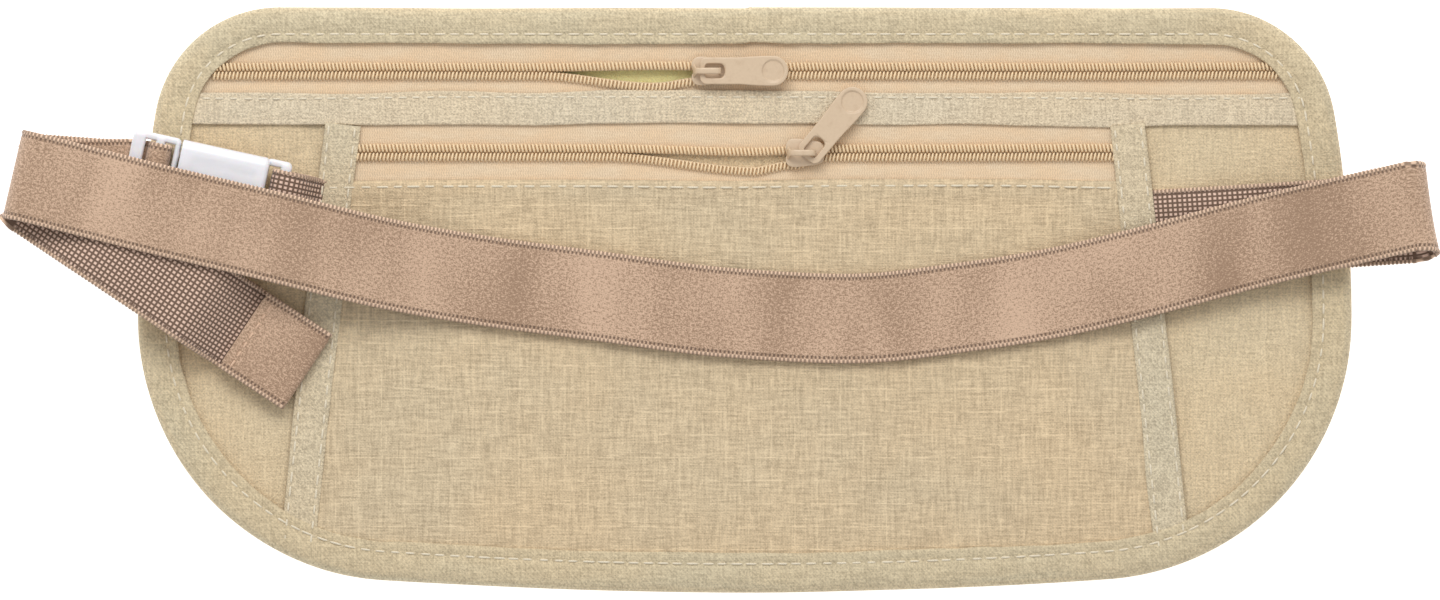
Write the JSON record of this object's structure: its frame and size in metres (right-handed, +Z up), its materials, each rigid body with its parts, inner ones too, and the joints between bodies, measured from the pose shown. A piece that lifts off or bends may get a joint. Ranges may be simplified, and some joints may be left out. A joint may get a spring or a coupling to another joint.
{
  "type": "money belt",
  "caption": "Flat bound fabric waist pouch with two zipped pockets, worn on an elastic belt that closes with a side-release buckle.",
  "frame": {"origin": "bottom centre of the whole object, on the table under the pouch", "axes": "+X along the pouch towards the belt's looped end, +Y towards the zipped edge, +Z up out of the front face"},
  "size_m": [0.3189, 0.13, 0.0148],
  "materials": {
    "lining_fabric": "smooth woven",
    "wing_fabric": "smooth woven",
    "ripstop_fabric": "fine ripstop weave",
    "binding_fabric": "folded woven strip, running stitch",
    "zip_tape": "woven tape",
    "zip_coil": "nylon coil",
    "slider_paint": "satin paint",
    "belt_elastic": "brushed elastic webbing",
    "buckle_plastic": "moulded white plastic"
  },
  "bodies": {
    "pouch": {"back_panel": "lining_fabric", "main_front_panel": "wing_fabric", "front_pocket_panel": "ripstop_fabric", "mid_band": "ripstop_fabric", "edge_binding": "binding_fabric", "left_side_tape": "binding_fabric", "right_side_tape": "binding_fabric", "upper_zip_tape_top": "zip_tape", "upper_zip_tape_bottom": "zip_tape", "upper_zip_coil_top": "zip_coil", "upper_zip_coil_bottom": "zip_coil", "lower_zip_tape_top": "zip_tape", "lower_zip_tape_bottom": "zip_tape", "lower_zip_coil_top": "zip_coil", "lower_zip_coil_bottom": "zip_coil", "belt_anchor": "belt_elastic", "belt_right_bend": "belt_elastic", "belt_front_right": "belt_elastic", "belt_tab": "belt_elastic", "buckle_socket_shell": "buckle_plastic"},
    "upper_slider": {"upper_slider_body": "slider_paint", "upper_slider_bridge": "slider_paint"},
    "upper_pull": {"upper_puller": "slider_paint"},
    "lower_slider": {"lower_slider_body": "slider_paint", "lower_slider_bridge": "slider_paint"},
    "lower_pull": {"lower_puller": "slider_paint"},
    "buckle_plug": {"buckle_plug_frame": "buckle_plastic", "belt_bar_wrap": "belt_elastic", "belt_return": "belt_elastic", "belt_left_bend": "belt_elastic", "belt_front_left": "belt_elastic", "belt_tail": "belt_elastic", "belt_tail_fold": "belt_elastic", "belt_tail_end": "belt_elastic", "belt_hem": "belt_elastic"},
    "upper_arm": {"buckle_arm_upper": "buckle_plastic"},
    "lower_arm": {"buckle_arm_lower": "buckle_plastic"}
  },
  "joints": [
    {"name": "upper_zip_slide", "type": "slide", "parent": "pouch", "child": "upper_slider", "axis": [1, 0, 0], "range_m": [-0.098, 0.113]},
    {"name": "upper_pull_hinge", "type": "hinge", "parent": "upper_slider", "child": "upper_pull", "pos_m": [-0.0039, 0.0509, 0.00647], "axis": [0, -1, 0], "range_deg": [0, 150]},
    {"name": "lower_zip_slide", "type": "slide", "parent": "pouch", "child": "lower_slider", "axis": [1, 0, 0], "range_m": [-0.0944, 0.0631]},
    {"name": "lower_pull_hinge", "type": "hinge", "parent": "lower_slider", "child": "lower_pull", "pos_m": [0.01934, 0.03199, 0.0059], "axis": [0.766, -0.6428, 0], "range_deg": [0, 60]},
    {"name": "buckle_release", "type": "slide", "parent": "pouch", "child": "buckle_plug", "axis": [-0.977, 0.213, 0], "range_m": [0, 0.018], "deforming": ["buckle_arm_upper", "buckle_arm_lower"]},
    {"name": "upper_arm_squeeze", "type": "hinge", "parent": "buckle_plug", "child": "upper_arm", "pos_m": [-0.11982, 0.03173, 0.009], "axis": [0, 0, -1], "range_deg": [0, 8], "stiffness_Nm_per_rad": 0.4},
    {"name": "lower_arm_squeeze", "type": "hinge", "parent": "buckle_plug", "child": "lower_arm", "pos_m": [-0.12323, 0.0161, 0.009], "axis": [0, 0, 1], "range_deg": [0, 8], "stiffness_Nm_per_rad": 0.4}
  ]
}
